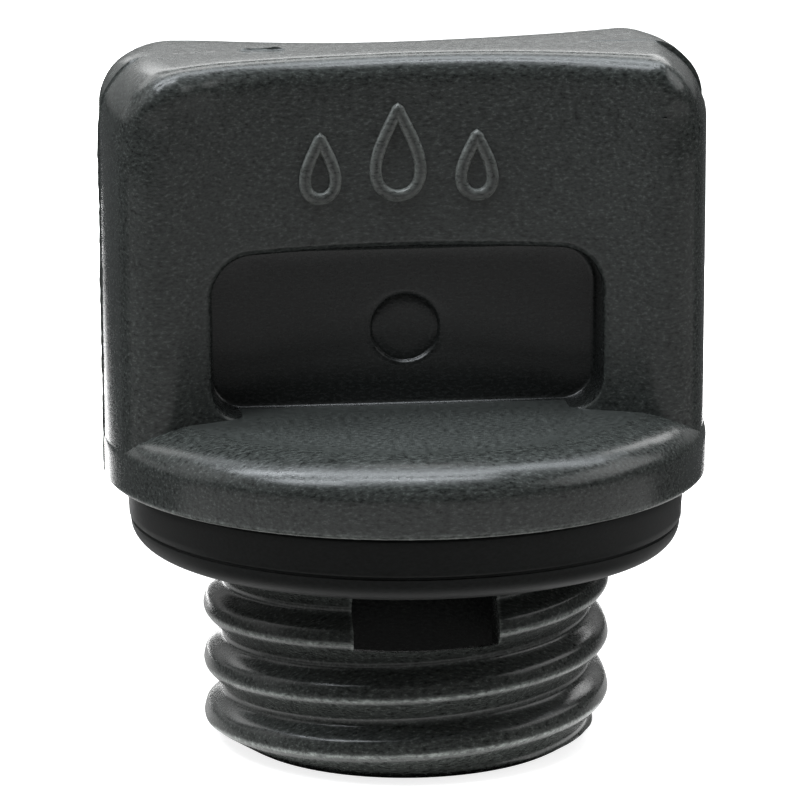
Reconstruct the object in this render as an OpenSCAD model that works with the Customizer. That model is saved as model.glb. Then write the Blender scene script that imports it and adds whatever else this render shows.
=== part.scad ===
// Oil filler cap: a moulded plastic cap with a slab grip, a round flange and a hollow
// threaded plug, and the rubber sealing ring that sits under the flange.
// Millimetres. The origin is on the thread's axis, at the plug's open end, and +Z is up.
// The mould opens along Y, so its parting plane is the XZ plane.

/* [Thread] */
// Diameter over the thread's crests
thread_d = 29; // [24:0.5:36]
// Distance from one crest to the next
thread_pitch = 4; // [3:0.1:5]
// Depth of the thread, from crest to root
thread_depth = 1.4; // [0.8:0.1:1.6]
// Height of the crest above the plug's open end, at the middle of the front
thread_phase = 10.85; // [9:0.05:12]
// Width of the rounded land on a crest
crest_w = 1; // [0.6:0.1:1.2]
// Axial length of the steeper flank, above a crest
upper_flank = 0.9; // [0.6:0.1:1.1]
// Axial length of the longer flank, below a crest
lower_flank = 1.7; // [1:0.1:1.8]
// How far the crests fall back where the two mould halves meet
parting_relief = 0.3; // [0:0.05:0.5]

/* [Plug] */
// Length of the plug below the flange
plug_l = 19.5; // [17:0.5:24]
// Radius of the plug's open end, inside its lead-in cone
end_r = 12.05; // [11.5:0.05:12.5]
// Slope of the lead-in cone, from the axis
lead_in_deg = 58; // [45:1:65]
// Radius of the hollow in the plug
bore_r = 10.6; // [8:0.1:11]
// Thickness of the roof over the hollow, up to the flange's top
roof_t = 3.6; // [2.5:0.1:4.5]
// Radius of the plain neck that carries the sealing ring
neck_r = 13.9; // [13.2:0.1:14.4]

/* [Windows] */
// Width of each vent window in the plug's wall
window_w = 10.1; // [7:0.1:11]
// Height of each vent window, at the outside
window_h = 4.7; // [4.2:0.1:5]
// How far a window's sill falls on its way to the hollow
window_fall = 0.9; // [0:0.1:1.5]
// Wall left between a window and the neck
window_bridge = 0.15; // [0.1:0.05:0.5]

/* [Flange] */
// Radius of the flange
flange_r = 21.3; // [20.8:0.1:25]
// Thickness of the flange
flange_t = 5.1; // [4.5:0.1:7]
// Rounding of the flange's top edge
flange_edge = 2.9; // [1.5:0.1:3.5]
// Rounding of the flange's lower edge
flange_lip = 0.3; // [0.1:0.05:0.6]

/* [Grip] */
// Height of the grip above the flange
grip_h = 24.9; // [20:0.1:30]
// Thickness of the grip at the middle of its hollow faces
grip_t = 8; // [7.5:0.1:10]
// Radius of the hollow that runs down each face, in plan
face_r = 35; // [32:0.5:45]
// How far the grip's ends stay inside the flange's edge
end_inset = 0.05; // [0.05:0.05:0.5]
// Rounding of the upright edges between a face and an end, in plan
upright_edge = 3; // [2.8:0.1:3.5]
// Rounding of the edges along the top
top_edge = 2; // [1.5:0.1:2.7]
// Rounding of the grip's two top corners, seen from the front
corner_r = 4; // [3:0.1:6]

/* [Pockets] */
// Width of the pocket in each face
pocket_w = 27.2; // [22:0.1:29]
// Height of the pocket above the flange
pocket_h = 11.5; // [8:0.1:14]
// Thickness of the web between the two pockets
web_t = 5.6; // [4:0.1:6.5]
// Rounding of a pocket's upper corners
pocket_top_r = 2.8; // [1.5:0.1:4]
// Rounding of a pocket's lower corners
pocket_low_r = 2.4; // [1:0.1:3]
// How far a pocket's lower edge sinks into the flange
pocket_sink = 0.3; // [0.2:0.05:0.5]
// Diameter of the ejector pin's mark in each pocket
mark_d = 4.8; // [3:0.1:6]
// Depth of the mark
mark_depth = 0.15; // [0.1:0.05:0.3]
// Height of the mark's centre above the flange
mark_z = 5.4; // [4:0.1:6]

/* [Sealing ring] */
// Thickness of the ring, along the axis
ring_t = 4.95; // [4:0.05:6]
// Radius of the ring at its top
ring_r = 19.7; // [18.5:0.1:20.5]
// How much the ring narrows down to its lower corner
ring_draft = 0.2; // [0:0.05:0.5]
// Rounding of the ring's lower corner
ring_edge = 1.7; // [0.8:0.1:2.2]
// Radial gap between the ring and the neck
ring_gap = 0.1; // [0.05:0.05:0.3]

/* [Hidden] */
$fn = 96;

crest_r = thread_d / 2;
seat_z = plug_l;
flange_top = seat_z + flange_t;
grip_top = flange_top + grip_h;
ring_low = seat_z - ring_t;
eps = 0.5;

// Thread
turn_n = 48;
pitch_n = 8;
row_h = thread_pitch / pitch_n;
thread_z0 = -1.1 * thread_pitch;
thread_top = ring_low - 0.1;
row_n = ceil((ring_low - thread_z0) / row_h) + 1;
neck_low = ring_low - 0.5;
relief_deg = 8;
front_deg = 270;

// Wraps an axial distance into half a pitch either way of a crest
function wrapped(u) = u - thread_pitch * round(u / thread_pitch);

// Share of the thread's depth that is lost at part t of a flank, with soft ends
function flank(t) = t <= 0 ? 0 : t >= 1 ? 1 : (t + t * t * (3 - 2 * t)) / 2;

// Radius of the thread at axial distance u above a crest's middle
function thread_r(u) =
    let (off = abs(u) - crest_w / 2, len = u > 0 ? upper_flank : lower_flank)
    crest_r - thread_depth * flank(off / len);

// Angle from the nearer parting line
function parting_angle(a) = min(abs(a % 180), 180 - abs(a % 180));

// Point in turn step i and row m of the helical grid
function thread_point(i, m) =
    let (
        a = 360 * i / turn_n,
        base = thread_z0 + m * row_h,
        u = wrapped(base - thread_phase + thread_pitch * front_deg / 360),
        fall = parting_relief * exp(-pow(parting_angle(a) / relief_deg, 2)),
        r = thread_r(u) - fall
    )
    [r * cos(a), r * sin(a), base + thread_pitch * i / turn_n];

// Column 0 runs one pitch further, because the last column meets it one turn up
function thread_index(i, m) =
    i == 0 ? m : i == turn_n ? m + pitch_n : row_n + pitch_n + 1 + (i - 1) * (row_n + 1) + m;

// Long helical bar with the thread on it, to be cut to the plug's envelope
module threaded_bar() {
    columns = [for (i = [0:turn_n - 1], m = [0:row_n + (i == 0 ? pitch_n : 0)]) thread_point(i, m)];
    low = len(columns);
    high = low + 1;
    low_rim = concat([for (i = [0:turn_n]) thread_index(i, 0)], [for (m = [pitch_n - 1:-1:1]) m]);
    high_rim = concat(
        [for (i = [0:turn_n]) thread_index(i, row_n)],
        [for (m = [pitch_n - 1:-1:1]) row_n + m]
    );
    rim_n = len(low_rim);
    walls = [
        for (i = [0:turn_n - 1], m = [0:row_n - 1])
            let (
                a = thread_index(i, m),
                b = thread_index(i, m + 1),
                c = thread_index(i + 1, m + 1),
                d = thread_index(i + 1, m)
            )
            each [[a, b, c], [a, c, d]]
    ];
    low_fan = [for (k = [0:rim_n - 1]) [low, low_rim[k], low_rim[(k + 1) % rim_n]]];
    high_fan = [for (k = [0:rim_n - 1]) [high, high_rim[(k + 1) % rim_n], high_rim[k]]];
    polyhedron(
        points = concat(
            columns,
            [[0, 0, thread_z0], [0, 0, thread_z0 + row_n * row_h + thread_pitch]]
        ),
        faces = concat(walls, low_fan, high_fan)
    );
}

// The plug's outer form: the lead-in cone at the open end, then room for the crests
module plug_envelope() {
    wide_r = crest_r + 1;
    cone_h = (wide_r - end_r) / tan(lead_in_deg);
    rotate_extrude()
        polygon([[0, 0], [end_r, 0], [wide_r, cone_h], [wide_r, thread_top], [0, thread_top]]);
}

// The hollow up the plug, open at the end
module bore() {
    translate([0, 0, -1])
        cylinder(h = flange_top - roof_t + 1, r = bore_r);
}

// One window through the front wall and one through the back, cut in the mould's opening
// direction. Its sill falls from the thread's crests to the hollow.
module windows() {
    outer = crest_r + 1;
    inner = bore_r - 2;
    high = ring_low - window_bridge;
    low = high - window_h;
    slope = window_fall / (crest_r - bore_r);
    outer_z = low + slope;
    inner_z = low - slope * (crest_r - inner);
    translate([-window_w / 2, 0, 0])
        rotate([90, 0, 90])
        linear_extrude(window_w)
        polygon([
            [-outer, outer_z], [-inner, inner_z], [inner, inner_z],
            [outer, outer_z], [outer, high], [-outer, high]
        ]);
}

// The neck, which carries the ring, and the flange with its two rounded edges
module flange() {
    translate([0, 0, neck_low])
        cylinder(h = seat_z - neck_low + eps, r = neck_r);
    translate([0, 0, seat_z])
        rotate_extrude() {
            square([flange_r - flange_edge, flange_t]);
            square([flange_r - flange_lip, flange_t - flange_edge]);
            translate([0, flange_lip])
                square([flange_r, flange_t - flange_edge - flange_lip]);
            translate([flange_r - flange_lip, 0])
                intersection() {
                    translate([0, flange_lip])
                        circle(flange_lip);
                    square(flange_lip);
                }
            translate([flange_r - flange_edge, flange_t - flange_edge])
                intersection() {
                    circle(flange_edge);
                    square(flange_edge);
                }
        }
}

// Grip
grip_r = flange_r - end_inset;
face_y = grip_t / 2 + face_r;
top_upright = 0.4;
end_n = 5;
upright_n = 7;
face_n = 12;
round_n = 7;
quarter_n = end_n + upright_n + face_n;
grip_foot = seat_z + 1;

// Quarter of the grip's plan: an arc about the axis at the end, with radius end_arc, a rounded
// upright edge, and a hollow arc along the face, which ends in the face's middle
function grip_quarter(end_arc, upright, face_arc) =
    let (
        y = (pow(face_arc + upright, 2) - pow(end_arc - upright, 2) - pow(face_y, 2)) / (2 * face_y),
        x = sqrt(pow(end_arc - upright, 2) - pow(y, 2)),
        end_deg = atan2(-y, x),
        face_deg = atan2(x, y + face_y),
        turn = 90 + face_deg - end_deg
    )
    concat(
        [for (k = [0:end_n]) let (a = end_deg * k / end_n) end_arc * [cos(a), -sin(a)]],
        [
            for (k = [1:upright_n])
                let (a = end_deg + turn * k / upright_n)
                [x + upright * cos(a), y - upright * sin(a)]
        ],
        [
            for (k = [1:face_n])
                let (a = face_deg * (1 - k / face_n))
                [face_arc * sin(a), face_arc * cos(a) - face_y]
        ]
    );

// The whole plan from its quarter, clockwise seen from above, from the right end's middle
function grip_ring(q) = concat(
    q,
    [for (k = [quarter_n - 1:-1:0]) [-q[k][0], q[k][1]]],
    [for (k = [1:quarter_n]) [-q[k][0], -q[k][1]]],
    [for (k = [quarter_n - 1:-1:1]) [q[k][0], -q[k][1]]]
);

// Share of the way round the upright edge, 0 on the end and 1 on the face
function face_share(k) =
    let (t = min(1, max(0, (k - end_n) / upright_n)))
    t * t * (3 - 2 * t);

// Grip before its pockets: upright walls, then a rounding that is larger on the ends
module grip_solid() {
    foot = grip_ring(grip_quarter(grip_r, upright_edge, face_r));
    crown = grip_ring(grip_quarter(grip_r - corner_r, top_upright, face_r + top_edge));
    drop_quarter = [
        for (k = [0:quarter_n])
            corner_r + (top_edge - corner_r) * face_share(k)
    ];
    drop = concat(
        drop_quarter,
        [for (k = [quarter_n - 1:-1:0]) drop_quarter[k]],
        [for (k = [1:quarter_n]) drop_quarter[k]],
        [for (k = [quarter_n - 1:-1:1]) drop_quarter[k]]
    );
    n = len(foot);
    rings = concat(
        [for (p = foot) [p[0], p[1], grip_foot]],
        [
            for (j = [0:round_n])
                let (a = 90 * j / round_n)
                for (k = [0:n - 1])
                    let (p = crown[k] + (foot[k] - crown[k]) * cos(a))
                    [p[0], p[1], grip_top - drop[k] * (1 - sin(a))]
        ]
    );
    top = (round_n + 1) * n;
    walls = [
        for (j = [0:round_n], k = [0:n - 1])
            let (
                a = j * n + k,
                b = j * n + (k + 1) % n,
                c = (j + 1) * n + (k + 1) % n,
                d = (j + 1) * n + k
            )
            each [[a, b, c], [a, c, d]]
    ];
    half = 2 * quarter_n;
    low_strips = [for (k = [1:half - 2]) [k, n - k, n - k - 1, k + 1]];
    top_strips = [for (k = [1:half - 2]) [top + k + 1, top + n - k - 1, top + n - k, top + k]];
    tips = [
        [0, n - 1, 1],
        [half, half - 1, half + 1],
        [top, top + 1, top + n - 1],
        [top + half, top + half + 1, top + half - 1]
    ];
    polyhedron(points = rings, faces = concat(walls, low_strips, top_strips, tips));
}

// A pocket's outline, seen from the front
module pocket_shape() {
    low = flange_top - pocket_sink;
    high = flange_top + pocket_h;
    half_w = pocket_w / 2;
    translate([pocket_low_r - half_w, low])
        square([pocket_w - 2 * pocket_low_r, pocket_low_r]);
    translate([-half_w, low + pocket_low_r])
        square([pocket_w, high - low - pocket_low_r - pocket_top_r]);
    translate([pocket_top_r - half_w, high - pocket_top_r])
        square([pocket_w - 2 * pocket_top_r, pocket_top_r]);
    for (side = [-1, 1]) {
        translate([side * (half_w - pocket_low_r), low + pocket_low_r])
            circle(pocket_low_r);
        translate([side * (half_w - pocket_top_r), high - pocket_top_r])
            circle(pocket_top_r);
    }
}

// Cutter for the front pocket, with the ejector pin's mark in its floor
module pocket() {
    reach = flange_r;
    translate([0, -web_t / 2, 0])
        rotate([90, 0, 0])
        linear_extrude(reach)
        pocket_shape();
    translate([0, mark_depth - web_t / 2, flange_top + mark_z])
        rotate([90, 0, 0])
        cylinder(h = 2, d = mark_d);
}

module grip() {
    difference() {
        grip_solid();
        pocket();
        mirror([0, 1, 0]) pocket();
    }
}

// The moulded cap in one piece
module cap_body() {
    color([0.035, 0.036, 0.038])
    difference() {
        union() {
            intersection() {
                threaded_bar();
                plug_envelope();
            }
            flange();
            grip();
        }
        bore();
        windows();
    }
}

// The ring's section, from the neck outward
module gasket() {
    inner = neck_r + ring_gap;
    low_r = ring_r - ring_draft;
    shoulder = ring_low + ring_edge;
    color([0.028, 0.028, 0.03])
    rotate_extrude()
        difference() {
            polygon([[inner, ring_low], [low_r, ring_low], [low_r, shoulder], [ring_r, seat_z], [inner, seat_z]]);
            translate([low_r - ring_edge, ring_low])
                difference() {
                    translate([0, -1])
                        square([ring_edge + 1, ring_edge + 1]);
                    translate([0, ring_edge])
                        circle(ring_edge);
                }
        }
}

cap_body();
gasket();
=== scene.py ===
# %% [markdown]
# # An oil filler cap
#
# The cap is one moulding of black plastic with a rubber sealing ring under its flange.
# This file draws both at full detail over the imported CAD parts, gives them their
# materials, and sets up a pale studio with the photograph's camera.
#
# Lengths are in millimetres until a mesh is made. Z is up along the thread's axis, and
# zero is the plane of the plug's open end. The mould opens along Y.

# %% Frame and helpers
import math

import bpy
import bmesh
import numpy as np
from mathutils import Matrix, Vector


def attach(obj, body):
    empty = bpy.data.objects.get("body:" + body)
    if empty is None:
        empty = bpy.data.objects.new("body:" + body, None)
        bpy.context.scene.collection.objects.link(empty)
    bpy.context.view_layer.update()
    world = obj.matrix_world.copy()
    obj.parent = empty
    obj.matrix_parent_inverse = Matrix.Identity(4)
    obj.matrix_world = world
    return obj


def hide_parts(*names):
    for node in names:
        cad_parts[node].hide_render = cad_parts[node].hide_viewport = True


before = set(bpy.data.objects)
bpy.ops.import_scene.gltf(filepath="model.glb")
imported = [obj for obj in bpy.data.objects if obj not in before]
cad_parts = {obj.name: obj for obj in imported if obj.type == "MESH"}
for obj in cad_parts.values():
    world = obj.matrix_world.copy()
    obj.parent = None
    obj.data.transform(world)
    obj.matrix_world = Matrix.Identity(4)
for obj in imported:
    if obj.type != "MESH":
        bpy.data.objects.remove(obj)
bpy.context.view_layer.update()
print("CAD nodes:", sorted(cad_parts))
MM = 0.001


def smooth(t):
    """Smoothstep: 3 t^2 - 2 t^3, held at 0 and 1 outside."""
    t = np.clip(t, 0.0, 1.0)
    return t * t * (3 - 2 * t)


def make_piece(name, points, faces, sharp_deg=40):
    """A mesh object from points in mm.

    Its normals point outward, and it is shaded smooth up to edges sharper than sharp_deg."""
    mesh = bpy.data.meshes.new(name)
    mesh.from_pydata((np.asarray(points) * MM).tolist(), [], faces)
    work = bmesh.new()
    work.from_mesh(mesh)
    bmesh.ops.recalc_face_normals(work, faces=work.faces)
    work.to_mesh(mesh)
    work.free()
    mesh.shade_smooth()
    mesh.set_sharp_from_angle(angle=math.radians(sharp_deg))
    piece = bpy.data.objects.new(name, mesh)
    bpy.context.scene.collection.objects.link(piece)
    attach(piece, "root")
    print(name, len(mesh.vertices), "points,", len(mesh.polygons), "faces")
    return piece


def grid_cells(index, closed=False):
    """The four corners of every cell of a grid of point numbers, rows by columns.

    A closed grid joins its last column to its first."""
    if closed:
        index = np.hstack([index, index[:, :1]])
    a, b, c, d = index[:-1, :-1], index[:-1, 1:], index[1:, 1:], index[1:, :-1]
    return np.stack([a, b, c, d], axis=-1)


def quads(index, closed=False):
    """Faces of a grid, as a list."""
    return grid_cells(index, closed).reshape(-1, 4).tolist()


def fan(row, pole):
    """Triangles that close a round row of points to the point numbered pole."""
    return np.column_stack([row, np.roll(row, -1), np.full(len(row), pole)]).tolist()


def point_values(piece, name, values):
    """A mesh attribute with one number for each point, for a material to read."""
    made = piece.data.attributes.new(name, "FLOAT", "POINT")
    made.data.foreach_set("value", np.asarray(values, np.float32))


def bell(s, middle, width):
    """Bell curve of height 1: exp(-((s - middle) / width)^2)."""
    return np.exp(-(((s - middle) / width) ** 2))


def span(s, start, stop, soft):
    """1 between start and stop and 0 outside, with smooth ends that are soft long."""
    return smooth((s - start) / soft) * smooth((stop - s) / soft)


def waves(s, seed, count=9, longest=14.0, shortest=0.7):
    """Uneven line between about -1 and 1 along s.

    It is a sum of sines. Their lengths fall in equal ratios, and each has a random start."""
    r = np.random.default_rng(seed)
    lengths = np.geomspace(longest, shortest, count)
    parts = [np.sin(2 * np.pi * (s / length + r.random())) for length in lengths]
    return sum(parts) / math.sqrt(count) / 1.4


# %% [markdown]
# ## Sizes
#
# Each number is a length of the real cap in millimetres. They were measured on the photograph
# through a fitted camera, and all but a few are those of the CAD source. They could be read off
# the loaded meshes, but a named number says what it is, and changing one shows what it moves.

# %% Sizes
# thread: radius over the crests, pitch, depth, and height of a crest at the middle of the front
CREST_R, PITCH, DEPTH, CREST_Z = 14.5, 4.0, 1.4, 10.83
# its profile: land above and below the crest's middle, flanks, and share of the depth it leans
LAND_UP, LAND_DOWN, UPPER_FLANK, LOWER_FLANK, LEAN = 0.6, 0.4, 0.9, 1.7, 0.16
# relief where the mould parts, and angle of the lead-in cone from the axis
PARTING_RELIEF, LEAD_IN_DEG = 0.08, 58
# plug: length below the flange, radius at its end, bore, height of the bore's roof, and neck
PLUG_L, END_R, BORE_R, ROOF_Z, NECK_R = 19.5, 12.05, 10.6, 21.0, 13.9
# windows: half their width, sill, top, and how far the sill falls inwards
WINDOW_X, WINDOW_LOW, WINDOW_TOP, WINDOW_FALL = 5.05, 9.7, 14.4, 0.9
RING_LOW = 14.55  # lower side of the sealing ring
# flange: radius, top, and rounding of its lower edge
FLANGE_R, FLANGE_TOP, FLANGE_LIP = 21.3, 24.6, 0.3
# its rounded upper edge: how far it reaches in and down, and how far its height strays
DOME_IN, DOME_DOWN, DOME_WAVE = 4.0, 2.6, 0.016
# grip: top, radius of its ends, radius and centre of its hollow faces, rounding of its upright edges
GRIP_TOP, GRIP_R, FACE_R, FACE_Y, UPRIGHT = 49.5, 21.25, 35.0, 39.0, 3.0
# its top edge: rounding along the faces and at the ends, and upright edges of the flat top
TOP_EDGE, CORNER_R, CROWN_UPRIGHT = 1.7, 4.0, 0.4
# pockets: half their width, lower and upper edge, half the web between them, and their corners
POCKET_X, POCKET_LOW, POCKET_TOP, WEB_Y = 13.55, 24.58, 35.95, 2.8
POCKET_TOP_R, POCKET_LOW_R = 2.8, 2.4
# ejector pin's mark: radius, height of its centre, and depth
MARK_R, MARK_Z, MARK_DEPTH = 2.4, 30.0, 0.2
# how far the front pocket and its mark sit off the middle
FRONT_SHIFT, FRONT_MARK_X = -0.45, -0.25
print("cap:", 2 * FLANGE_R, "mm across and", GRIP_TOP, "mm tall")


def face_half(x):
    """Half the grip's thickness at x: FACE_Y - sqrt(FACE_R^2 - x^2)."""
    return FACE_Y - np.sqrt(FACE_R**2 - np.clip(np.abs(x), 0, 20) ** 2)


# %% [markdown]
# ## The thread's profile
#
# The real thread is a coarse moulded one: a blunt crest, a short flank above it and a longer one
# below. A Screw modifier could sweep one drawn profile, but its turns wouldn't blend with the
# cone at the plug's end. So the profile is a table of depth against height, and the radius at any
# angle and height is looked up in it. The crest leans back a little towards its top, so that its
# lower edge catches the light from the table and its upper part stays dark, as on the real one.

# %% Thread profile
PROFILE_STEP, SOFT = 0.01, 0.1
FRONT_DEG, RELIEF_DEG = 270, 8
profile_u = np.arange(-PITCH / 2, PITCH / 2, PROFILE_STEP)


def profile_table():
    """Depth below the crest over one pitch.

    The land runs from LAND_DOWN below to LAND_UP above the crest's middle. At the share t of a
    flank's length the depth goes as half t plus half smoothstep of t, and the land leans back by
    LEAN of the depth. The whole is softened with a bell SOFT wide: exp(-(u / SOFT)^2 / 2)."""
    above = (profile_u - LAND_UP) / UPPER_FLANK
    below = (-LAND_DOWN - profile_u) / LOWER_FLANK
    next_turn = below + PITCH / LOWER_FLANK
    t = np.clip(np.maximum(above, below), 0, 1)
    t = np.where(profile_u > LAND_UP + UPPER_FLANK + 0.1, np.clip(next_turn, 0, 1), t)
    lost = np.clip(0.5 * t + 0.5 * smooth(t), 0, 1)
    lean = LEAN * np.clip((profile_u + 0.3) / 0.9, 0, 1) ** 1.3
    lost = lost + (1 - lost) * lean
    reach = round(4 * SOFT / PROFILE_STEP)
    u = np.arange(-reach, reach + 1) * PROFILE_STEP
    kernel = np.exp(-((u / SOFT) ** 2) / 2)
    kernel /= kernel.sum()
    wide = np.concatenate([lost[-reach:], lost, lost[:reach]])
    return DEPTH * np.convolve(wide, kernel, mode="valid")


thread_lost = profile_table()
print("thread depth at the root", round(float(thread_lost.max()), 2), "mm")


def thread_radius(angle, z):
    """Radius of the thread's surface at an angle in degrees and a height.

    The crest climbs one pitch a turn, against the clock seen from above."""
    crest = CREST_Z + PITCH * (angle - FRONT_DEG) / 360
    u = (z - crest + PITCH / 2) % PITCH - PITCH / 2
    lost = np.interp(u, profile_u, thread_lost, period=PITCH)
    to_parting = np.abs((angle + 90) % 180 - 90)
    return CREST_R - lost - PARTING_RELIEF * bell(to_parting, 0, RELIEF_DEG)


# %% [markdown]
# ## Columns of the plug
#
# The hollow plug, the neck and the flange are one moulding. It could be a turned curve with a
# Boolean for each window, but a Boolean across a helix leaves long thin faces that shade badly.
# Here one grid of rows and columns covers them all. A window's sides are flat and parallel, while
# the columns of a turned grid spread from the axis, so near the windows the columns bend to keep
# to those sides.

# %% Columns
TURN_N = 320  # columns round the axis
HALF = 19  # columns from a window's middle to its side
MIDDLES = (TURN_N // 4, 3 * TURN_N // 4)  # columns in the middle of the windows
flat_angle = np.arange(TURN_N) * 360 / TURN_N
offset = flat_angle % 180 - 90


def column_angles(r):
    """Angles of the grid's columns at radius r.

    The columns HALF steps from the middle of a window keep to the plane of its side,
    x = WINDOW_X, so their angle from the middle is arcsin(WINDOW_X / r). The others make room."""
    side = np.degrees(np.arcsin(WINDOW_X / np.clip(r, BORE_R, CREST_R)))
    plain = HALF * 360 / TURN_N
    inside = offset * side / plain
    fade = 1 - smooth((np.abs(offset) - plain) / 25)
    outside = offset + np.sign(offset) * (side - plain) * fade
    return flat_angle - offset + np.where(np.abs(offset) <= plain, inside, outside)


print("columns:", TURN_N, "and", 2 * HALF, "cells across each window")


# %% [markdown]
# ## Section of the plug and flange
#
# The grid's rows follow the moulding's section from the roof of the bore, round the plug's end, up
# the thread and out over the flange. Each is a radius and a height. A curve object could hold the
# section, but some rows have to meet the top and the sill of a window, inside and outside, and a
# list of rows can be counted.

# %% Section
def arc(cx, cz, r, start, stop, steps):
    """Points on a circle about (cx, cz), with angles from the radius axis in degrees."""
    a = np.radians(np.linspace(start, stop, steps + 1))
    return [(cx + r * math.cos(t), cz + r * math.sin(t)) for t in a]


window_z = np.linspace(WINDOW_LOW, WINDOW_TOP, 42)
inner_z = np.linspace(WINDOW_LOW - WINDOW_FALL, WINDOW_TOP, 42)
bore_rows = [(r, ROOF_Z) for r in (0.6, 3, 6, 8.5)]
bore_rows += arc(BORE_R - 0.5, ROOF_Z - 0.5, 0.5, 90, 0, 4)
bore_rows += [(BORE_R, z) for z in (19, 17, 15.5)]
bore_top = len(bore_rows)
bore_rows += [(BORE_R, z) for z in inner_z[::-1]]
bore_low = len(bore_rows) - 1
bore_rows += [(BORE_R, z) for z in (7.5, 6, 4.5, 2.5, 1, 0.3)]
bore_rows += arc(BORE_R + 0.25, 0.25, 0.25, 180, 270, 4)
bore_rows += [(11.3, 0), (11.7, 0), (11.9, 0.01), (12.02, 0.05), (12.12, 0.12)]
thread_z = np.concatenate([
    np.arange(0.2, WINDOW_LOW - 0.05, 0.115), window_z, [14.45]])
flange_rows = [(NECK_R, 14.47), (NECK_R, 17), (NECK_R, 19.3), (NECK_R + 0.2, PLUG_L)]
flange_rows += [(16, PLUG_L), (18.5, PLUG_L), (20.3, PLUG_L)]
flange_rows += arc(FLANGE_R - FLANGE_LIP, PLUG_L + FLANGE_LIP, FLANGE_LIP, -90, 0, 6)
flange_rows += [(FLANGE_R, z) for z in (19.95, 20.3, 20.8, 21.3, 21.7)]
flange_rows += [
    (FLANGE_R - DOME_IN * (1 - across), FLANGE_TOP - DOME_DOWN * (1 - up))
    for across, up in arc(0, 0, 1, 0, 90, 22)]
flange_rows += [(r, FLANGE_TOP) for r in (17, 15, 12, 9, 6, 3, 0.6)]
print("rows:", len(bore_rows), "bore,", len(thread_z), "thread,", len(flange_rows), "neck and flange")


# %% [markdown]
# ## Turning the section
#
# Now each row gets its radius, height and angle at every column. On the thread the radius comes
# from the profile, and the lead-in cone cuts it off near the plug's end. A window is a block of
# cells left out, and four strips that join the inner wall to the outer one. The flange's rounded
# edge is uneven by one or two hundredths of a millimetre, as a moulding is, which breaks up its
# highlight a little.

# %% Plug and flange
def turned_grid():
    """Radius, height and angle of every grid point, rows by columns.

    The rows run from the roof of the bore round the plug's end to the flange's top. On the thread
    the radius and the column's angle depend on each other, so they are found in four passes."""
    rows = []
    for r, z in bore_rows:
        rows.append((np.full(TURN_N, float(r)), np.full(TURN_N, float(z)), column_angles(r)))
    for z in thread_z:
        angle = flat_angle
        for _ in range(4):
            cone = END_R + (z - 0.05) * math.tan(math.radians(LEAD_IN_DEG))
            r = np.minimum(thread_radius(angle, z), cone)
            angle = column_angles(r)
        rows.append((r, np.full(TURN_N, z), angle))
    for r, z in flange_rows:
        rows.append((np.full(TURN_N, float(r)), np.full(TURN_N, float(z)), column_angles(r)))
    return [np.array(part) for part in zip(*rows)]


radius, height, angle = turned_grid()
angle = np.radians(angle)
on_dome = (radius > FLANGE_R - DOME_IN) * (radius < FLANGE_R - 0.01) * (height > PLUG_L + 1)
uneven = DOME_WAVE * waves(angle * FLANGE_R, 31, 7, 6.7, 1.1)
height = height + uneven * on_dome * smooth((FLANGE_TOP - height) / 0.15)
index = np.arange(radius.size).reshape(radius.shape)
points = np.stack([radius * np.cos(angle), radius * np.sin(angle), height], axis=-1).reshape(-1, 3)
outer_low = len(bore_rows) + int(np.argmin(np.abs(thread_z - WINDOW_LOW)))
outer_top = outer_low + len(window_z) - 1
keep = np.ones((radius.shape[0] - 1, TURN_N), bool)
faces = []
for middle in MIDDLES:
    columns = np.arange(middle - HALF, middle + HALF + 1)
    keep[bore_top:bore_low, columns[:-1]] = False
    keep[outer_low:outer_top, columns[:-1]] = False
    for a, b in ((bore_low, outer_low), (bore_top, outer_top)):
        faces += quads(np.stack([index[a, columns], index[b, columns]]))
    inner = index[bore_top : bore_low + 1, :][::-1]
    outer = index[outer_low : outer_top + 1, :]
    for c in (columns[0], columns[-1]):
        faces += quads(np.stack([inner[:, c], outer[:, c]]))
faces += grid_cells(index, closed=True)[keep].tolist()
poles = [[0, 0, ROOF_Z], [0, 0, FLANGE_TOP]]
points = np.vstack([points, poles])
faces += fan(index[0], radius.size) + fan(index[-1], radius.size + 1)
plug = make_piece("plug_and_flange", points, faces)


# %% [markdown]
# ## Painted highlights and dull places
#
# The crests' lower edges, the windows' sides and the flange's lower edge are painted paler: a
# painted highlight standing for the lit table and lamps that they reflect. The flange's flat top is
# rougher than its rounded edge, and painted a little paler. A painted mask would need an unwrapped
# mesh. Two numbers on each point say it instead, and the material reads them by name.

# %% Painted highlights and dull places
crest = CREST_Z + PITCH * (np.degrees(angle) - FRONT_DEG) / 360
u = (height - crest + PITCH / 2) % PITCH - PITCH / 2
on_thread = (height < RING_LOW) & (radius > END_R + 0.4)
# painted highlight: a pale band at each crest's lower edge, on the flange's lower edge and on the
# windows' sides
highlight_paint = bell(u, -LAND_DOWN, 0.13) * on_thread
highlight_paint += 0.5 * bell(height, PLUG_L + 0.2, 0.16) * (radius > FLANGE_R - 0.3)
for middle in MIDDLES:
    highlight_paint[outer_low:outer_top, [middle - HALF, middle + HALF]] = 0.5
highlight_paint *= 0.75 + 0.35 * waves(angle * CREST_R, 21, 12, 6.0, 0.4)
# flange's flat top: rougher in its finish, and painted lighter, which is painted light
dull_and_painted_light = smooth((18.6 - radius) / 2.4) * (height > FLANGE_TOP - 0.6)
point_values(plug, "painted_highlight", np.append(np.clip(highlight_paint, 0, 1.2), [0, 0]))
point_values(plug, "matte_and_painted_light", np.append(dull_and_painted_light, [0, 1]))
print("rubbed points:", int((highlight_paint > 0.2).sum()), "dull points:", int((dull_and_painted_light > 0.5).sum()))


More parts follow.
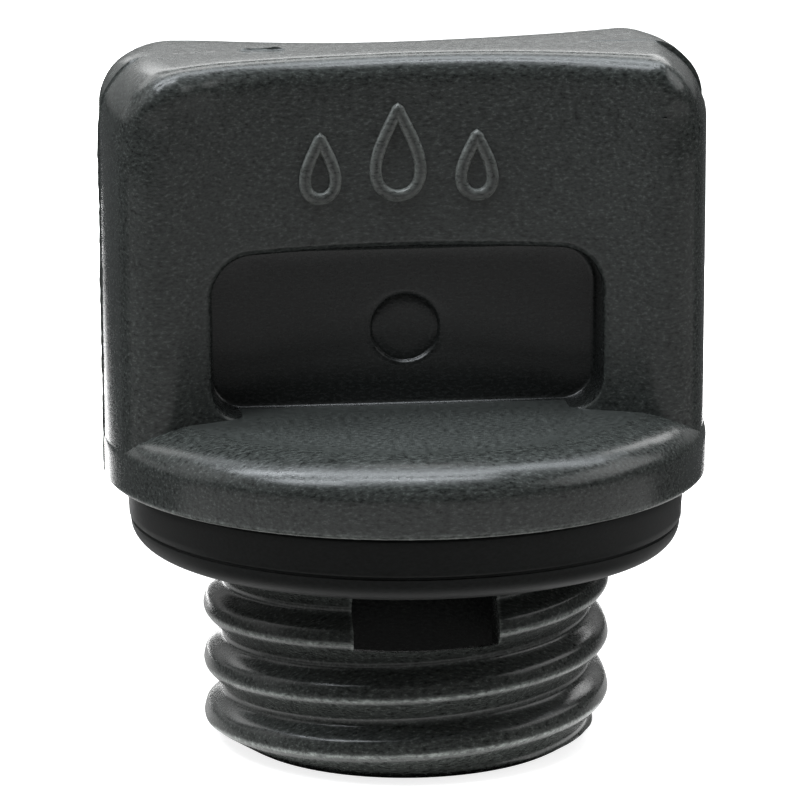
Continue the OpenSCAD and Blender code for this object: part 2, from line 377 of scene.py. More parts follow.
# %% [markdown]
# ## The grip's plan
#
# Seen from above the grip is a bow tie: two hollow faces between two rounded ends. A quarter of
# it is three arcs that touch each other, and the rest is that quarter mirrored. It could be a
# Bezier curve, but the arcs have the CAD's radii, and each height gets the same number of
# points, which the next step needs.

# %% Grip plan
# shares of the end's arc, close together at the parting plane, where the fin needs points
END_STEPS = np.array([0, 0.007, 0.014, 0.022, 0.035, 0.06, 0.12, 0.22, 0.35, 0.5, 0.66, 0.82, 1])
UPRIGHT_N, SIDE_N, PATCH_N = 16, 3, 56
PATCH_X, PATCH_LOW, PATCH_TOP = 14.9, 23.9, 38.2


def plan_quarter(end_arc, upright, face_arc):
    """Quarter of the plan, from the right end's middle to the front face's middle.

    An arc about the axis, a rounded upright edge that touches it from inside and the
    hollow face's circle from outside, and the face's arc about (0, -FACE_Y)."""
    y = ((face_arc + upright) ** 2 - (end_arc - upright) ** 2 - FACE_Y**2) / (2 * FACE_Y)
    x = math.sqrt((end_arc - upright) ** 2 - y * y)
    end = math.atan2(-y, x)
    face = math.atan2(x, y + FACE_Y)
    a = end * END_STEPS
    first = np.stack([end_arc * np.cos(a), -end_arc * np.sin(a)], axis=-1)
    a = end + (math.pi / 2 + face - end) * np.arange(1, UPRIGHT_N + 1) / UPRIGHT_N
    second = np.stack([x + upright * np.cos(a), y - upright * np.sin(a)], axis=-1)
    edge_x = face_arc * math.sin(face)
    xs = np.concatenate([
        np.linspace(edge_x, PATCH_X, SIDE_N + 1)[1:], np.linspace(PATCH_X, 0, PATCH_N + 1)[1:]])
    third = np.stack([xs, np.sqrt(face_arc**2 - xs**2) - FACE_Y], axis=-1)
    return np.concatenate([first, second, third])


def full_ring(q):
    """The whole loop from its quarter. Values that aren't points are the same in all quarters."""
    if q.ndim == 1:
        return np.concatenate([q, q[-2::-1], q[1:], q[-2:0:-1]])
    flip = np.array([-1, 1])
    return np.concatenate([q, q[-2::-1] * flip, -q[1:], q[-2:0:-1] * -flip])


foot = full_ring(plan_quarter(GRIP_R, UPRIGHT, FACE_R))
crown = full_ring(plan_quarter(GRIP_R - CORNER_R, CROWN_UPRIGHT, FACE_R + TOP_EDGE))
steps = np.arange(len(foot) // 4 + 1) - (len(END_STEPS) - 1)
drop = full_ring(CORNER_R + (TOP_EDGE - CORNER_R) * smooth(steps / UPRIGHT_N))
PLAN_N = len(foot)
first_patch = len(END_STEPS) - 1 + UPRIGHT_N + SIDE_N
print("grip plan:", PLAN_N, "columns")

# %% [markdown]
# ## Walls and top rounding
#
# The top edge is rounded by 1.7 mm along the faces and by 4 mm at the ends, and one Bevel width
# can't make that. Each ring of points lies between the wall's plan and the smaller plan of the
# flat top, along a quarter circle, and the drop below the top changes along the ring. The two
# big faces are left open where the pockets go.

# %% Grip walls and rounding
low_z = [19.7, 20.6, 21.5, 22.4, 23.2]  # inside the flange
patch_z = np.linspace(PATCH_LOW, PATCH_TOP, 49)
rows = [np.column_stack([foot, np.full(PLAN_N, z)]) for z in (*low_z, *patch_z)]
for t in np.linspace(0, 1, 19)[1:]:
    z = PATCH_TOP + (GRIP_TOP - drop - PATCH_TOP) * t
    rows.append(np.column_stack([foot, z]))
for a in np.radians(np.linspace(0, 90, 13))[1:]:
    plan = crown + (foot - crown) * math.cos(a)
    rows.append(np.column_stack([plan, GRIP_TOP - drop * (1 - math.sin(a))]))
grid = np.array(rows)
index = np.arange(len(rows) * PLAN_N).reshape(len(rows), PLAN_N)
points = [grid.reshape(-1, 3)]
count = index.size
patch_row = len(low_z)
half = PLAN_N // 2
spans = [(first_patch, half - first_patch), (half + first_patch, PLAN_N - first_patch)]
keep = np.ones((len(rows) - 1, PLAN_N), bool)
for a, b in spans:
    keep[patch_row : patch_row + len(patch_z) - 1, a:b] = False
faces = grid_cells(index, closed=True)[keep].tolist()


# distance of the lines' middle points from the parting plane: in mm, and as a share of the line's half
FINE_Y, FINE_SHARE = [0.28, 0.2, 0.135, 0.085, 0.04], [0.25, 0.2, 0.15, 0.1, 0.05]


def cap_strip(ring, z, fine):
    """Closes a ring of the grip with lines from its front to its back.

    Where fine, a line has points at 0.6 and 0.4 of its half h, at the smaller of FINE_Y and
    FINE_SHARE times h, and at 0, on both sides of the parting plane."""
    global count
    k = np.arange(1, half)
    front, back = index[ring, k], index[ring, PLAN_N - k]
    if fine:
        x, h = grid[ring, k, 0], np.abs(grid[ring, k, 1])
        inner = np.column_stack([0.6 * h, 0.4 * h, np.minimum(FINE_Y, np.outer(h, FINE_SHARE))])
        y = np.column_stack([-inner, 0 * h, inner[:, ::-1]])
        across = np.stack([x[:, None] + 0 * y, y, z + 0 * y], axis=-1)
        points.append(across.reshape(-1, 3))
        new = count + np.arange(y.size).reshape(y.shape)
        count += y.size
        lines = np.column_stack([front, new, back])
    else:
        lines = np.column_stack([front, back])
    out = quads(lines)
    for tip, line in ((index[ring, 0], lines[0]), (index[ring, half], lines[-1])):
        out += np.column_stack([np.full(len(line) - 1, tip), line[:-1], line[1:]]).tolist()
    return out


faces += cap_strip(0, low_z[0], fine=False)
faces += cap_strip(len(rows) - 1, GRIP_TOP, fine=True)
print("grip walls:", len(rows), "rings,", len(faces), "faces")


# %% [markdown]
# ## Pockets
#
# Each face has a moulded pocket with a rounded lip, a flat floor and the round mark of an ejector
# pin. The front one sits half a millimetre to the left, with its mark a little less. A Boolean
# would cut it quickly, but the rounding would meet the curved face in stray triangles. Instead,
# loops of points go from the border of the open patch to the pocket's outline, over the lip, down
# the wall and round the mark. Each loop has the same number of points, so nearly all the faces
# have four sides, and the shading stays clean.

# %% Pockets
def pocket_loop(x, z, grow, shift):
    """Points of the patch's border, at x and z, moved to the pocket's outline.

    The border's rectangle is scaled to the pocket's, and a corner's points go onto its arc. The
    outline is larger by grow on all sides and moved by shift along x."""
    mid = (POCKET_LOW + POCKET_TOP) / 2
    tall = (POCKET_TOP - POCKET_LOW) / 2 + grow
    wide = POCKET_X + grow
    up, down = PATCH_TOP - mid, mid - PATCH_LOW
    px = x / PATCH_X * wide
    pz = np.where(z > mid, (z - mid) / up, (z - mid) / down) * tall
    r = np.where(pz > 0, POCKET_TOP_R, POCKET_LOW_R) + grow
    cx, cz = np.sign(px) * (wide - r), np.sign(pz) * (tall - r)
    dx, dz = px - cx, pz - cz
    corner = (np.abs(px) > wide - r) & (np.abs(pz) > tall - r)
    length = np.maximum(np.hypot(dx, dz), 1e-9)
    px = np.where(corner, cx + dx / length * r, px)
    pz = np.where(corner, cz + dz / length * r, pz)
    return px + shift, pz + mid


# loops on the flat of the face, and those of the lip that have the same finish
FACE_LOOPS, LIP_LOOPS = 10, 2
# the mark's section: distance in from its edge, and the share of its depth there
MARK_SECTION = [(-0.05, 0.15), (0.05, 0.95), (0.11, 1.25), (0.2, 1.15), (0.35, 1), (1.0, 1), (1.8, 1)]


def pocket(side, a, b):
    """The face round a pocket, the pocket's walls and floor, and the ejector pin's mark.

    Its loops all have the border's number of points: some on the face, a rounded lip, the wall, a
    rounded foot, the floor, and the mark's circles round its centre."""
    global count
    top = patch_row + len(patch_z) - 1
    border = np.concatenate([
        index[patch_row, a:b], index[patch_row:top, b],
        index[top, b:a:-1], index[top:patch_row:-1, a]])
    xyz = points[0][border]
    x, z = xyz[:, 0], xyz[:, 2]
    lip, fillet = 0.5, 0.35
    quarter = np.radians([22.5, 45, 67.5, 90])
    shift, mark_x = (FRONT_SHIFT, FRONT_MARK_X) if side < 0 else (0.0, 0.0)
    loops = []
    lx, lz = pocket_loop(x, z, lip, shift)
    for t in np.linspace(0, 1, FACE_LOOPS + 1)[1:]:
        px, pz = x + (lx - x) * t, z + (lz - z) * t
        loops.append((px, face_half(px), pz))
    for t in quarter:
        px, pz = pocket_loop(x, z, lip * (1 - math.sin(t)), shift)
        loops.append((px, face_half(px) - lip * (1 - math.cos(t)), pz))
    px, pz = pocket_loop(x, z, 0, shift)
    start = face_half(px) - lip
    for t in (0.33, 0.66, 1):
        loops.append((px, start + (WEB_Y + fillet - start) * t, pz))
    for t in quarter:
        px, pz = pocket_loop(x, z, -fillet * (1 - math.cos(t)), shift)
        loops.append((px, WEB_Y + fillet * (1 - math.sin(t)) + 0 * px, pz))
    angle = np.arctan2(pz - MARK_Z, px - mark_x)
    cx, cz = np.cos(angle), np.sin(angle)
    floor_x, floor_z = px, pz
    ringed = MARK_R + 0.12
    for t in (0.25, 0.5, 0.75, 0.9, 1):
        loops.append((floor_x + (mark_x + cx * ringed - floor_x) * t, WEB_Y + 0 * px,
                      floor_z + (MARK_Z + cz * ringed - floor_z) * t))
    for inset, share in MARK_SECTION:
        r = MARK_R - inset
        loops.append((mark_x + cx * r, WEB_Y - MARK_DEPTH * share + 0 * px, MARK_Z + cz * r))
    n = len(border)
    rings = [border]
    for px, py, pz in loops:
        points.append(np.stack([px, side * py, pz], axis=-1))
        rings.append(np.arange(count, count + n))
        count += n
    points.append(np.array([[mark_x, side * (WEB_Y - MARK_DEPTH), MARK_Z]]))
    out = quads(np.array(rings), closed=True) + fan(rings[-1], count)
    count += 1
    return out, n


pocket_faces = []
for side, (a, b) in zip((-1, 1), spans):
    new, n = pocket(side, a, b)
    pocket_faces += range(len(faces) + (FACE_LOOPS + LIP_LOOPS) * n, len(faces) + len(new))
    faces += new
print("inside the pockets:", len(pocket_faces), "faces")


# %% [markdown]
# ## Parting line and small faults
#
# The two halves of the mould met along the middle of the grip, and the real cap shows it: a thin
# fin down the left side, a step at the right corner, a scar and a row of specks on the top. They
# are tenths of a millimetre, too small for the CAD. A bump map could paint them, but they show in
# the outline. So the points near the parting plane are moved along the outline's own normal.
# A few small bumps by the top corners catch the lamps in the same way.

# %% Parting line
def outline_normal(x, z):
    """Outward direction of the grip's outline seen from the front.

    Sideways on the upright sides, away from the arc's centre in the corners, and up on the top."""
    cx, cz = np.sign(x) * (GRIP_R - CORNER_R), GRIP_TOP - CORNER_R
    dx = np.where(np.abs(x) > np.abs(cx), x - cx, 0)
    dz = np.where(z > cz, z - cz, 0)
    length = np.maximum(np.hypot(dx, dz), 1e-9)
    return dx / length, dz / length


def along_outline(x, z):
    """Distance along the outline from the middle of the top, less than zero to the left."""
    return np.sign(x) * (np.abs(x) + (GRIP_TOP - z))


DASH_WIDTH, FLASH_WIDTH = 0.09, 0.06
# x, z, size and height of each bump on the front face
BUMPS = [
    (-15.9, 47.9, 0.4, 0.09), (-14.5, 48.1, 0.5, 0.11), (-17.3, 47.6, 0.35, 0.06),
    (16.9, 48.6, 0.5, 0.08), (18.6, 47.9, 0.5, 0.08), (-0.2, 48.9, 0.9, 0.04)]
points = np.concatenate(points)
x, y, z = points.T
s = along_outline(x, z)
nx, nz = outline_normal(x, z)
# each fault has a height in mm, and spans and bells of s that say where it is
front_half = smooth((0.02 - y) / 0.04)
left_sag = 0.34 * bell(s, -22, 2.6) * smooth((1.8 - y) / 1.8)
right_fall = 0.18 * smooth((s - 18.3) / 3)
step = (0.36 * span(s, 17.2, 25.8, 2) + 0.13 * span(s, -26.5, -18.2, 1.4)) * front_half
tilt = 0.16 * smooth((9 - s) / 16) * smooth((s + 22) / 4) + 0.14 * bell(s, -17, 2.2)
dashes = 0.06 * span(s, -16.4, -12.3, 1) * np.clip(waves(s, 11, 7, 3, 0.5) + 0.3, 0, 1)
side_flash = 0.13 * smooth((-s - 25) / 1.5) * (1 + 0.3 * waves(s, 3))
scar = 0.17 * span(s, -11.8, -8.0, 0.7) * (1 + 0.3 * waves(s, 5)) + 0.07 * span(s, 12, 18.4, 1.5)
moved = dashes * bell(y, 0, DASH_WIDTH) + (side_flash + scar) * bell(y, 0, FLASH_WIDTH)
moved -= left_sag + right_fall + step + tilt
points = np.stack([x + nx * moved, y, z + nz * moved], axis=-1)
for bump_x, bump_z, size, high in BUMPS:
    off = np.hypot(x - bump_x, z - bump_z)
    near = bell(off, 0, size * math.sqrt(2)) * smooth(-y / 0.5)
    points += np.outer(near * high, [0, -0.8, 0.6])
print("parting line moved by", round(moved.min(), 2), "to", round(moved.max(), 2), "mm")
grip = make_piece("grip", points, faces)
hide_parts("cap_body")
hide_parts("cap_body")


# %% [markdown]
# ## Sealing ring
#
# The ring is soft black rubber with a rounded lower lip and a fine groove above it. A curve spun
# about the axis would do as well. Its section is kept as points because the ring sags a little on
# the right, and that is one more term on the height.

# %% Sealing ring
def gasket_rows():
    """Section of the ring from its bore's foot round the outside to its top."""
    inner = NECK_R + 0.1
    rows = [(inner, RING_LOW + 0.2), (inner + 0.2, RING_LOW), (16, RING_LOW), (17.5, RING_LOW)]
    rows += arc(17.8, RING_LOW + 1.7, 1.7, -84, 0, 12)
    rows += [(19.5, 16.27), (19.4, 16.32), (19.38, 16.4), (19.5, 16.5), (19.6, 16.62)]
    rows += [(19.62, 17), (19.68, 17.8), (19.74, 18.4)]
    rows += arc(19.52, 18.92, 0.25, 0, 90, 4)
    rows += [(18.8, 19.25), (18.5, 19.45), (inner + 0.1, 19.45), (inner, 19.35)]
    return rows


section = gasket_rows()
RING_N, DROOP = 288, 0.36
turn = np.radians(np.arange(RING_N) * 360 / RING_N)
r = np.array([p[0] for p in section])[:, None]
z = np.array([p[1] for p in section])[:, None]
droop = DROOP * np.clip(np.cos(turn), 0, 1) ** 2
z = z - droop * smooth((19.4 - z) / 3)
points = np.stack([r * np.cos(turn), r * np.sin(turn), z], axis=-1)
index = np.arange(len(section) * RING_N).reshape(-1, RING_N)
index = np.vstack([index, index[:1]])
gasket = make_piece("sealing_ring", points.reshape(-1, 3), quads(index, closed=True))
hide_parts("gasket")


# %% [markdown]
# ## A raised sign
#
# Caps of this kind have a raised sign on the face. Here it is three plain drops in a line 0.9 mm
# wide and 0.4 mm high. Bevelled curves could make them. But the outline is one formula, and a
# ridge with sloped sides is swept along it, because its foot has to follow the hollow face.

# %% Raised sign
# the ridge's section: shares of its width and of its height
RIDGE = [(-0.5, -0.15), (-0.42, 0.6), (-0.3, 0.95), (0, 1.0), (0.3, 0.95), (0.42, 0.6), (0.5, -0.15)]
# painted highlight on the ridge's sides, as a share of the full painted highlight
RIDGE_PAINTED_HIGHLIGHT = [0, 0.6, 0.3, 0, 0.3, 0.6, 0]
# the line's width and height, and the height at which the drops stand
LINE_WIDTH, LINE_HEIGHT, SIGN_FOOT = 0.9, 0.4, 39.65
DROP_N = 72
# x of a drop's middle, and half its height
DROPS = [(-0.85, 3.05), (-6.3, 2.1), (4.6, 2.1)]


def drop_outline(size, steps=DROP_N):
    """A drop's outline in x and z: a circle whose upper part is drawn to a point.

    x = 0.72 size sin(t) sin(t/2)^1.4, z = size cos(t)."""
    t = np.linspace(0, 2 * np.pi, steps, endpoint=False)
    return np.stack([0.72 * size * np.sin(t) * np.sin(t / 2) ** 1.4, size * np.cos(t)], axis=-1)


def raised_line(path, width, height, cx, cz):
    """Ridge with sloped sides along a closed path on the front face.

    Each loop of it is the path moved sideways, and its foot lies a little inside the face."""
    ahead = np.roll(path, -1, axis=0) - np.roll(path, 1, axis=0)
    ahead /= np.linalg.norm(ahead, axis=1)[:, None]
    out = np.stack([ahead[:, 1], -ahead[:, 0]], axis=-1)
    loops = []
    for across, up in RIDGE:
        p = path + out * across * width
        x, z = p[:, 0] + cx, p[:, 1] + cz
        loops.append(np.stack([x, -face_half(x) - height * up, z], axis=-1))
    n = len(path)
    index = np.arange(len(RIDGE) * n).reshape(-1, n)
    index = np.vstack([index, index[:1]])
    return np.concatenate(loops), quads(index, closed=True)


points, faces = [], []
for cx, size in DROPS:
    ridge, cells = raised_line(drop_outline(size), LINE_WIDTH, LINE_HEIGHT, cx, SIGN_FOOT + size)
    faces += (np.array(cells) + len(ridge) * len(points)).tolist()
    points.append(ridge)
sign = make_piece("raised_drops", np.concatenate(points), faces, 60)
point_values(sign, "painted_highlight", np.tile(np.repeat(RIDGE_PAINTED_HIGHLIGHT, DROP_N), len(DROPS)))


# %% [markdown]
# ## Shader helpers
#
# A material is a small tree of nodes. It can be built in the editor by hand, but a few short
# functions keep the trees readable in text: one starts a material, one adds a node with its
# settings and links, and one turns a screen colour into the linear one that the renderer needs.

# %% Shader helpers
def colour(code):
    """Linear colour of an sRGB hex code."""
    parts = [int(code[i : i + 2], 16) / 255 for i in (0, 2, 4)]
    return tuple(c / 12.92 if c <= 0.04045 else ((c + 0.055) / 1.055) ** 2.4 for c in parts) + (1.0,)


def add(tree, kind, *first, **named):
    """A node with its first inputs in order, and its other inputs and settings by name.

    A name with a capital is an input's, and any other is a setting's. A socket is linked."""
    node = tree.nodes.new(kind)
    inputs = dict(enumerate(first))
    for name, value in named.items():
        if name[0].isupper():
            inputs[name.replace("_", " ")] = value
        else:
            setattr(node, name, value)
    for key, value in inputs.items():
        if isinstance(value, bpy.types.NodeSocket):
            tree.links.new(value, node.inputs[key])
        else:
            node.inputs[key].default_value = value
    return node


def new_material(name):
    """An empty material and its tree."""
    material = bpy.data.materials.new(name)
    material.use_nodes = True
    material.node_tree.nodes.clear()
    return material, material.node_tree


print("mid grey 808080 is", round(colour("808080")[0], 3), "in linear light")


# %% [markdown]
# ## Plastic and rubber
#
# The plastic is called black but is a dark, slightly green grey. Its skin is satin, with a speckle
# a fifth of a millimetre high and about twice as wide. It could be one flat colour, but then the
# faces look like painted metal. Noise in Object coordinates changes the colour and the gloss
# together, and a little bump breaks the edge of each highlight. Some edges are painted paler, as a
# painted highlight, and a mesh attribute marks them. The flange's flat top is rougher than its
# rounded edge and painted a little paler, which a second attribute says.

# %% Materials
GRAIN_MM = 0.2  # the real speckle is nearer 0.1 mm, and is drawn coarser so that a pixel shows it
MOTTLE_MM = 6.25  # slow changes of shade, as wide as the mould's polishing strokes
PAINTED_HIGHLIGHT_GAIN = 6.0  # how many times lighter a painted highlight makes an edge
PAINTED_TOP_LIGHT, DULL = 1.12, 1.7  # how many times lighter by painted light, and how much rougher, the flange's flat top is


def moulded(name, base, rough, specular, grain):
    """Moulded plastic or rubber, with a fine speckle, a slow mottle, painted highlights and rougher
    parts.

    Its shade is the product of speckle, mottle, painted highlight and the rougher parts' painted
    light, and its gloss follows the speckle and the rougher parts."""
    material, tree = new_material(name)
    where = add(tree, "ShaderNodeTexCoord").outputs["Object"]
    drawn = add(tree, "ShaderNodeMapping", Vector=where, Scale=(0.45, 1, 1)).outputs[0]
    fine = add(tree, "ShaderNodeTexNoise", Vector=drawn, Scale=1000 / GRAIN_MM,
               Detail=2.0, Roughness=0.7).outputs["Fac"]
    slow = add(tree, "ShaderNodeTexNoise", Vector=where, Scale=1000 / MOTTLE_MM,
               Detail=4.0, Roughness=0.6).outputs["Fac"]
    speckle = add(tree, "ShaderNodeMapRange", Value=fine, From_Min=0.3, From_Max=0.7,
                  To_Min=1 - grain, To_Max=1 + grain)
    mottle = add(tree, "ShaderNodeMapRange", Value=slow, From_Min=0.3, From_Max=0.7,
                 To_Min=0.9, To_Max=1.1)
    edge = add(tree, "ShaderNodeAttribute", attribute_name="painted_highlight")
    painted_highlight_gain = add(tree, "ShaderNodeMapRange", Value=edge.outputs["Fac"], To_Min=1.0, To_Max=PAINTED_HIGHLIGHT_GAIN)
    flat = add(tree, "ShaderNodeAttribute", attribute_name="matte_and_painted_light")
    painted_top_light = add(tree, "ShaderNodeMapRange", Value=flat.outputs["Fac"], To_Min=1.0, To_Max=PAINTED_TOP_LIGHT)
    rougher = add(tree, "ShaderNodeMapRange", Value=flat.outputs["Fac"], To_Min=1.0, To_Max=DULL)
    shade = speckle
    for factor in (mottle, painted_highlight_gain, painted_top_light):
        shade = add(tree, "ShaderNodeMath", shade.outputs[0], factor.outputs[0], operation="MULTIPLY")
    tint = add(tree, "ShaderNodeVectorMath", operation="SCALE", Vector=colour(base)[:3],
               Scale=shade.outputs[0])
    gloss = add(tree, "ShaderNodeMapRange", Value=fine, From_Min=0.3, From_Max=0.7,
                To_Min=rough - 0.05, To_Max=rough + 0.05)
    bump = add(tree, "ShaderNodeBump", Strength=0.12, Distance=0.00005, Height=fine)
    roughness = add(tree, "ShaderNodeMath", gloss.outputs[0], rougher.outputs[0], operation="MULTIPLY")
    shader = add(tree, "ShaderNodeBsdfPrincipled", Base_Color=tint.outputs[0],
                 Roughness=roughness.outputs[0], Normal=bump.outputs[0], IOR=1.5,
                 Specular_IOR_Level=specular)
    add(tree, "ShaderNodeOutputMaterial", Surface=shader.outputs[0])
    return material


# satin plastic: soft wide highlights with a grainy edge, dark grey where it reflects nothing
plastic = moulded("satin_black_plastic", "3b3e3c", 0.24, 0.5, 0.7)
# the pocket's darker colour is painted shade in the recess; its speckle is calmer
pocket_shade_plastic = moulded("pocket_painted_shade_plastic", "262827", 0.26, 0.45, 0.6)
# the sign is the same plastic, a little lighter, with painted highlights on its edges
sign_plastic = moulded("raised_sign_plastic", "434543", 0.3, 0.5, 0.5)
# rubber: nearly black, with almost no highlight
rubber = moulded("black_rubber", "181a19", 0.5, 0.25, 0.6)
for piece in (plug, grip):
    piece.data.materials.append(plastic)
sign.data.materials.append(sign_plastic)
grip.data.materials.append(pocket_shade_plastic)
inside = np.zeros(len(grip.data.polygons), np.int32)
inside[pocket_faces] = 1
grip.data.polygons.foreach_set("material_index", inside)
gasket.data.materials.append(rubber)
print("materials:", [m.name for m in (plastic, pocket_shade_plastic, sign_plastic, rubber)])


# %% [markdown]
# ## Table and background
#
# The photograph has a pure white background. An image or a compositor could put it in, but a white
# table and a white world do it in the render and keep the cap's shadow. The camera sees both
# white, while the cap sees them dark, since the light that shapes it comes from the lamps.

# %% Stage
def flat_sheet(name, size):
    """A square sheet on the ground."""
    mesh = bpy.data.meshes.new(name)
    h = size / 2
    mesh.from_pydata([(-h, -h, 0), (h, -h, 0), (h, h, 0), (-h, h, 0)], [], [(0, 1, 2, 3)])
    sheet = bpy.data.objects.new(name, mesh)
    bpy.context.scene.collection.objects.link(sheet)
    return sheet


floor = flat_sheet("floor", 6.0)
# what the cap sees of the table and world, and what the camera sees: shade, own glow, and sky
CAP_SHADE, CAP_GLOW, CAP_SKY = 0.05, 0.0, 0.02
CAMERA_SHADE, CAMERA_GLOW, CAMERA_SKY = 0.5, 0.82, 1.0
material, tree = new_material("white_floor")
seen = add(tree, "ShaderNodeLightPath").outputs["Is Camera Ray"]
tone = add(tree, "ShaderNodeMapRange", Value=seen, To_Min=CAP_SHADE, To_Max=CAMERA_SHADE)
plain = add(tree, "ShaderNodeBsdfDiffuse", Color=tone.outputs[0])
lift_amount = add(tree, "ShaderNodeMapRange", Value=seen, To_Min=CAP_GLOW, To_Max=CAMERA_GLOW)
lift = add(tree, "ShaderNodeEmission", Color=(1, 1, 1, 1), Strength=lift_amount.outputs[0])
both = add(tree, "ShaderNodeAddShader", plain.outputs[0], lift.outputs[0])
add(tree, "ShaderNodeOutputMaterial", Surface=both.outputs[0])
floor.data.materials.append(material)

world = bpy.data.worlds.new("studio")
bpy.context.scene.world = world
world.use_nodes = True
tree = world.node_tree
tree.nodes.clear()
seen = add(tree, "ShaderNodeLightPath").outputs["Is Camera Ray"]
glow = add(tree, "ShaderNodeMapRange", Value=seen, To_Min=CAP_SKY, To_Max=CAMERA_SKY)
sky = add(tree, "ShaderNodeBackground", Color=(1, 1, 1, 1), Strength=glow.outputs[0])
add(tree, "ShaderNodeOutputWorld", Surface=sky.outputs[0])
print("stage:", floor.name, "and world", world.name)


# %% [markdown]
# ## Lamps overhead
#
# The photograph shows a broad soft light above the cap and a little in front of it: it ends sharply
# at the lower border of each highlight. One large lamp would give that border, but the highlights
# also fade towards the back and differ from left to right. So the light is a grid of panels at one
# height, each with its own level. A level of 1 is the brightness of white paper.

# %% Lamps overhead
COOL = (0.94, 0.99, 1.04)


def area_light(name, place, target, width, depth, glow, tint=(1, 1, 1)):
    """A soft rectangular lamp at place in mm that faces target.

    Its brightness is glow, 1 being white paper, so its power is pi times glow times its area."""
    data = bpy.data.lights.new(name, "AREA")
    data.shape = "RECTANGLE"
    data.size, data.size_y = width * MM, depth * MM
    data.energy = glow * math.pi * width * depth * MM * MM
    data.color = tint
    lamp = bpy.data.objects.new(name, data)
    lamp.location = Vector(place) * MM
    lamp.rotation_euler = (Vector(target) - Vector(place)).to_track_quat("-Z", "Y").to_euler()
    lamp.visible_camera = False
    bpy.context.scene.collection.objects.link(lamp)
    return lamp


CEILING_Z = 520
# front and back edge of a row of panels, and the levels of its left, middle and right panel
ceiling = [
    (-260, -170, 5.8, 1.4, 0), (-170, -110, 13.2, 2.2, 0.7), (-110, -60, 0, 15.5, 0),
    (0, 80, 14.8, 8.6, 0.8), (80, 180, 0, 3.6, 6.3), (180, 300, 2.7, 0.2, 1.6)]
for near, far, *levels in ceiling:
    for x, wide, level in zip((-305, 0, 305), (290, 320, 290), levels):
        if level:
            y = (near + far) / 2
            place, target = (x, y, CEILING_Z), (x, y, 0)
            area_light(f"ceiling_{near}_{x}", place, target, wide, far - near, level, COOL)
print("lamps overhead:", len(bpy.data.lights))


# %% [markdown]
# ## Lamps round the sides
#
# A dark satin body is drawn by what it reflects, more than by its own colour. Each lamp's level was
# found by rendering the cap with one lamp at a time and fitting their sum to greys measured on
# the photograph. Trying levels by hand would work as well, only more slowly.

# %% Lamps round the sides
AIM_Z = 20
# azimuth from the back, positive to the left, and elevation, then distance, width, height, level
standing = [
    (0, 26, 640, 380, 150, 2.6), (0, 55, 640, 380, 160, 4.8),
    (33, 36, 640, 300, 260, 2.1), (-33, 36, 640, 300, 260, 3.8),
    (58, 32, 600, 260, 260, 0.24), (85, 30, 560, 260, 260, 0.83), (-85, 30, 560, 260, 260, 1.7),
    (112, 28, 560, 260, 260, 0.31), (-112, 28, 560, 260, 260, 1.33), (60, 10, 560, 260, 120, 0.6),
    (85, 10, 560, 260, 120, 0.53), (180, 22, 900, 900, 300, 0.11)]
for azimuth, height, far, wide, tall, level in standing:
    a, e = math.radians(azimuth), math.radians(height)
    flat = far * math.cos(e)
    place = (-flat * math.sin(a), flat * math.cos(a), AIM_Z + far * math.sin(e))
    area_light(f"side_{azimuth}_{height}", place, (0, 0, AIM_Z), wide, tall, level)
area_light("back_wall", (0, 900, 330), (0, 0, 330), 2200, 200, 0.54)
area_light("back_wall_foot", (0, 900, 130), (0, 0, 130), 2200, 200, 0.24)
print("lamps in all:", len(bpy.data.lights))


# %% [markdown]
# ## The lit table
#
# The white table near the cap lights it from below: the lower edges of the thread and the left edge
# of the grip are its reflection. A brighter floor would do this too, but it would change the
# background. So thin glowing sheets lie on the table, which the camera doesn't see. Their
# brightness is a mesh attribute.

# %% Lit table
LIT_Z = 0.3
# in front: radius of a half ring, and its glow
glow_at = np.array([
    [14, 1.5], [19, 1.5], [21, 0.62], [27, 0.55], [30, 0.05], [38, 0.05], [42, 0.46], [68, 0.5],
    [72, 1.12], [98, 1.1], [103, 0.05], [127, 0.05], [133, 0.59], [260, 0.6]])
SHEET_GLOW, POOL_GLOW, BACK_GLOW = 5.3, 0.11, 0.75


def half_rings(radii, start, stop, steps):
    """Points of half circles on the table about the axis, one row for each radius."""
    turn = np.radians(np.linspace(start, stop, steps))
    x, y = np.outer(radii, np.cos(turn)), np.outer(radii, np.sin(turn))
    return np.stack([x, y, np.full_like(x, LIT_Z)], axis=-1)


front = half_rings(glow_at[:, 0], 180, 360, 49)
back = half_rings([16, 60], 0, 180, 25)
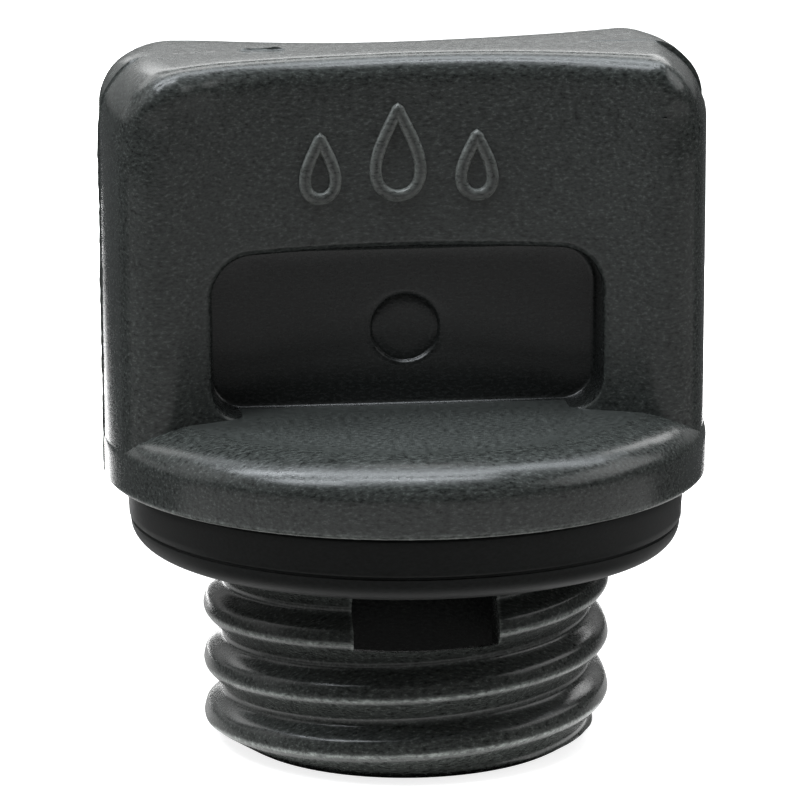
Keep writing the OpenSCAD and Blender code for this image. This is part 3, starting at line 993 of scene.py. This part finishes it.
# a disc of 32 points inside the plug's end, and a long sheet behind the half rings
pool = half_rings([9], 0, 348.75, 32)[0]
sheet = np.array([[-50, 60, LIT_Z], [50, 60, LIT_Z], [50, 320, LIT_Z], [-50, 320, LIT_Z]])
points = np.concatenate([front.reshape(-1, 3), sheet, pool, back.reshape(-1, 3)])
number = np.arange(len(points))
front_n, back_n = front[..., 0].size, back[..., 0].size
faces = quads(number[:front_n].reshape(front.shape[:2]))
faces += [number[front_n : front_n + 4].tolist(), number[front_n + 4 : -back_n].tolist()]
faces += quads(number[-back_n:].reshape(back.shape[:2]))
mesh = bpy.data.meshes.new("lit_table")
mesh.from_pydata((points * MM).tolist(), [], faces)
table = bpy.data.objects.new("lit_table", mesh)
level = np.concatenate([
    np.repeat(glow_at[:, 1], front.shape[1]), np.full(len(sheet), SHEET_GLOW),
    np.full(len(pool), POOL_GLOW), np.full(back_n, BACK_GLOW)])
point_values(table, "glow", level)
bpy.context.scene.collection.objects.link(table)
table.visible_camera = False
table.visible_shadow = False
material, tree = new_material("table_glow")
level = add(tree, "ShaderNodeAttribute", attribute_name="glow")
shine = add(tree, "ShaderNodeEmission", Color=(1, 1, 1, 1), Strength=level.outputs["Fac"])
add(tree, "ShaderNodeOutputMaterial", Surface=shine.outputs[0])
mesh.materials.append(material)
print("lit table:", len(points), "points,", len(faces), "faces")


# %% [markdown]
# ## Camera
#
# The camera's place, turn and lens were fitted to points of the CAD model that could be found in the
# photograph. It stands 315 mm in front, looks down by 13 degrees and is 6 degrees to the left.
# Setting it by eye would do for a portrait, but not for comparing the two pictures.

# %% Camera
def camera_at(place, forward, roll_deg, lens):
    """A camera at place in mm that looks along forward, turned by roll about it."""
    data = bpy.data.cameras.new("camera")
    data.lens = lens
    data.sensor_width = 36
    data.clip_end = 50
    cam = bpy.data.objects.new("camera", data)
    f = Vector(forward).normalized()
    right = f.cross(Vector((0, 0, 1))).normalized()
    up = right.cross(f)
    a = math.radians(roll_deg)
    r = math.cos(a) * right + math.sin(a) * up
    u = -math.sin(a) * right + math.cos(a) * up
    turn = Matrix((r, u, -f)).transposed().to_4x4()
    cam.matrix_world = Matrix.Translation(Vector(place) * MM) @ turn
    bpy.context.scene.collection.objects.link(cam)
    return cam


bpy.context.scene.camera = camera_at(
    (-34.33, -315.54, 98.50), (0.1043, 0.9681, -0.2280), -0.21, 207.36)
bpy.context.scene.view_settings.view_transform = "Standard"
print("camera lens", bpy.context.scene.camera.data.lens, "mm")
